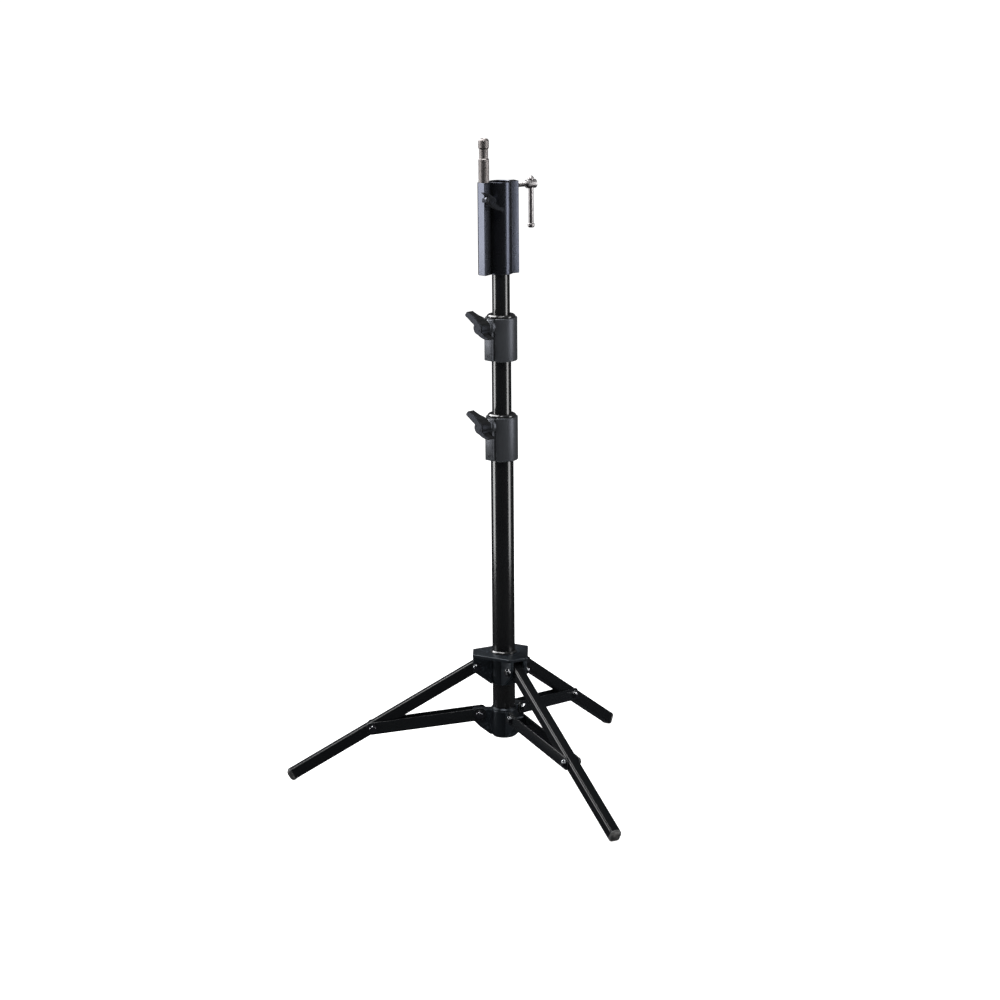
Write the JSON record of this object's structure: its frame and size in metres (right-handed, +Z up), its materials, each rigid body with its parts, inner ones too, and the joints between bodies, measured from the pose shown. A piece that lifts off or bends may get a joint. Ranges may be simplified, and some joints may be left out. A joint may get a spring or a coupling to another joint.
{
  "type": "combo light stand",
  "caption": "Folding three-leg light stand with sliding risers, wing-lever clamps, and a head that holds a 16 mm stud beside a 28 mm receiver with a T-handle screw.",
  "frame": {"origin": "on the floor, at the middle of the stand's bounding box; the mast's axis stands 82.2 mm towards +X from it", "axes": "+Z up along the mast; one leg runs towards -X, the others 60 degrees either side of +X"},
  "size_m": [0.519, 0.5978, 1.0058],
  "materials": {
    "tube_black": "gloss black powder coat on steel tube",
    "strap_black": "black powder coat on flat steel",
    "casting_black": "satin black paint on a casting",
    "lever_nylon": "moulded, satin",
    "ring_gloss": "moulded, glossy",
    "plug_plastic": "moulded, satin",
    "foot_rubber": "dark rubber",
    "zinc_steel": "bright zinc plate",
    "shoe_brass": "turned brass",
    "chrome": "bright chrome plate"
  },
  "bodies": {
    "mast": {"lower_tube": "tube_black", "lower_tube_plug": "plug_plastic", "brace_collar": "casting_black", "brace_collar_bolt_1": "zinc_steel", "brace_collar_bolt_2": "zinc_steel", "brace_collar_bolt_3": "zinc_steel", "lower_riser_collar": "casting_black", "lower_collar_ring": "ring_gloss", "lower_collar_set_screw": "zinc_steel", "lower_clamp_shoe": "shoe_brass"},
    "lower_lever": {"lower_lever": "lever_nylon", "lower_lever_screw": "zinc_steel"},
    "hub": {"leg_hub": "casting_black", "hub_glide_ring": "ring_gloss", "leg_pivot_bolt_1": "zinc_steel", "leg_pivot_bolt_2": "zinc_steel", "leg_pivot_bolt_3": "zinc_steel"},
    "hub_knob": {"hub_knob": "plug_plastic", "hub_knob_screw": "zinc_steel"},
    "mid_riser": {"mid_tube": "tube_black", "mid_tube_guide": "plug_plastic", "upper_riser_collar": "casting_black", "upper_collar_ring": "ring_gloss", "upper_collar_set_screw": "zinc_steel", "upper_clamp_shoe": "shoe_brass"},
    "upper_lever": {"upper_lever": "lever_nylon", "upper_lever_screw": "zinc_steel"},
    "top_riser": {"top_tube": "tube_black", "top_tube_guide": "plug_plastic", "combo_head": "casting_black", "head_set_screw": "zinc_steel"},
    "stud": {"stud": "chrome"},
    "stud_lever": {"stud_lever": "lever_nylon", "stud_lever_screw": "zinc_steel"},
    "t_screw": {"t_screw": "chrome"},
    "tommy_bar": {"tommy_bar": "chrome", "tommy_bar_knob_upper": "chrome", "tommy_bar_knob_lower": "chrome"},
    "leg_1": {"leg_tube_1": "tube_black", "foot_plug_1": "foot_rubber"},
    "brace_1": {"brace_strap_1_left": "strap_black", "brace_strap_1_right": "strap_black", "brace_joint_bolt_1_left": "zinc_steel", "brace_joint_bolt_1_right": "zinc_steel"},
    "leg_2": {"leg_tube_2": "tube_black", "foot_plug_2": "foot_rubber"},
    "brace_2": {"brace_strap_2_left": "strap_black", "brace_strap_2_right": "strap_black", "brace_joint_bolt_2_left": "zinc_steel", "brace_joint_bolt_2_right": "zinc_steel"},
    "leg_3": {"leg_tube_3": "tube_black", "foot_plug_3": "foot_rubber"},
    "brace_3": {"brace_strap_3_left": "strap_black", "brace_strap_3_right": "strap_black", "brace_joint_bolt_3_left": "zinc_steel", "brace_joint_bolt_3_right": "zinc_steel"}
  },
  "joints": [
    {"name": "hub_slide", "type": "slide", "parent": "mast", "child": "hub", "axis": [0, 0, 1], "range_m": [0, 0.2818]},
    {"name": "hub_knob_turn", "type": "hinge", "parent": "hub", "child": "hub_knob", "pos_m": [0.08247, 0, 0.18261], "axis": [-0.5, 0.866, 0], "continuous": true},
    {"name": "leg_1_fold", "type": "hinge", "parent": "hub", "child": "leg_1", "pos_m": [0.04067, 0, 0.18661], "axis": [0, -1, 0], "range_deg": [0, 58.71]},
    {"name": "brace_1_fold", "type": "hinge", "parent": "mast", "child": "brace_1", "pos_m": [0.04437, 0, 0.109], "axis": [0, 1, 0], "range_deg": [0, 97.15]},
    {"name": "leg_2_fold", "type": "hinge", "parent": "hub", "child": "leg_2", "pos_m": [0.10337, -0.0362, 0.18661], "axis": [0.866, 0.5, 0], "range_deg": [0, 58.71]},
    {"name": "brace_2_fold", "type": "hinge", "parent": "mast", "child": "brace_2", "pos_m": [0.10152, -0.033, 0.109], "axis": [-0.866, -0.5, 0], "range_deg": [0, 97.15]},
    {"name": "leg_3_fold", "type": "hinge", "parent": "hub", "child": "leg_3", "pos_m": [0.10337, 0.0362, 0.18661], "axis": [-0.866, 0.5, 0], "range_deg": [0, 58.71]},
    {"name": "brace_3_fold", "type": "hinge", "parent": "mast", "child": "brace_3", "pos_m": [0.10152, 0.033, 0.109], "axis": [0.866, -0.5, 0], "range_deg": [0, 97.15]},
    {"name": "mid_riser_slide", "type": "slide", "parent": "mast", "child": "mid_riser", "axis": [0, 0, 1], "range_m": [-0.082, 0.31]},
    {"name": "top_riser_slide", "type": "slide", "parent": "mid_riser", "child": "top_riser", "axis": [0, 0, 1], "range_m": [-0.0615, 0.38]},
    {"name": "lower_lever_turn", "type": "hinge", "parent": "mast", "child": "lower_lever", "pos_m": [0.08247, 0, 0.57], "axis": [-0.6947, -0.7193, 0], "continuous": true},
    {"name": "upper_lever_turn", "type": "hinge", "parent": "mid_riser", "child": "upper_lever", "pos_m": [0.08247, 0, 0.7229], "axis": [-0.6947, -0.7193, 0], "continuous": true},
    {"name": "stud_slide", "type": "slide", "parent": "top_riser", "child": "stud", "axis": [0, 0, 1], "range_m": [-0.058, 0.012]},
    {"name": "stud_lever_turn", "type": "hinge", "parent": "top_riser", "child": "stud_lever", "pos_m": [0.05846, -0.01277, 0.915], "axis": [0.4695, -0.8829, 0], "continuous": true},
    {"name": "t_screw_turn", "type": "hinge", "parent": "top_riser", "child": "t_screw", "pos_m": [0.08247, 0, 0.9335], "axis": [0.8829, 0.4695, 0], "continuous": true},
    {"name": "tommy_bar_slide", "type": "slide", "parent": "t_screw", "child": "tommy_bar", "axis": [0, 0, 1], "range_m": [0, 0.05]}
  ],
  "couplings": [
    {"joint": "leg_1_fold", "follows": "hub_slide", "rad_per_m": 3.6357},
    {"joint": "leg_2_fold", "follows": "hub_slide", "rad_per_m": 3.6357},
    {"joint": "leg_3_fold", "follows": "hub_slide", "rad_per_m": 3.6357},
    {"joint": "brace_1_fold", "follows": "hub_slide", "rad_per_m": 6.0156},
    {"joint": "brace_2_fold", "follows": "hub_slide", "rad_per_m": 6.0156},
    {"joint": "brace_3_fold", "follows": "hub_slide", "rad_per_m": 6.0156}
  ]
}
